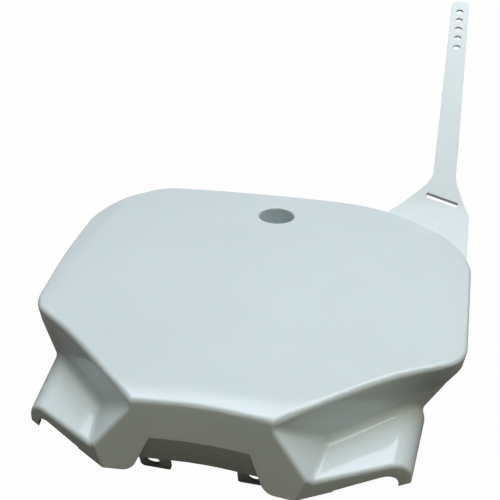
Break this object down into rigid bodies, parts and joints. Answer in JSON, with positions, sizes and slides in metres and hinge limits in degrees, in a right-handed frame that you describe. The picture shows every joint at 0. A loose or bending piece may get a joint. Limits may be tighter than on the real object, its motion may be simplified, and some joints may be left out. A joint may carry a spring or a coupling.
{
  "type": "racing number board",
  "caption": "Moulded racing number board: a shallow hollow shell with a sunken bolt cup, flared lower ears, pin lugs below and a long perforated clamp strap.",
  "frame": {"origin": "centre of the bolt hole, on the flat seat under the bolt cup, with the board lying on its back", "axes": "+Z along the bolt, out of the face; +Y towards the top edge of the board; X across it, with the strap at +X"},
  "size_m": [0.2348, 0.3979, 0.1442],
  "materials": {
    "white_plastic": "glossy cool-white moulded polypropylene"
  },
  "bodies": {
    "root": {"number_board": "white_plastic"}
  },
  "joints": []
}
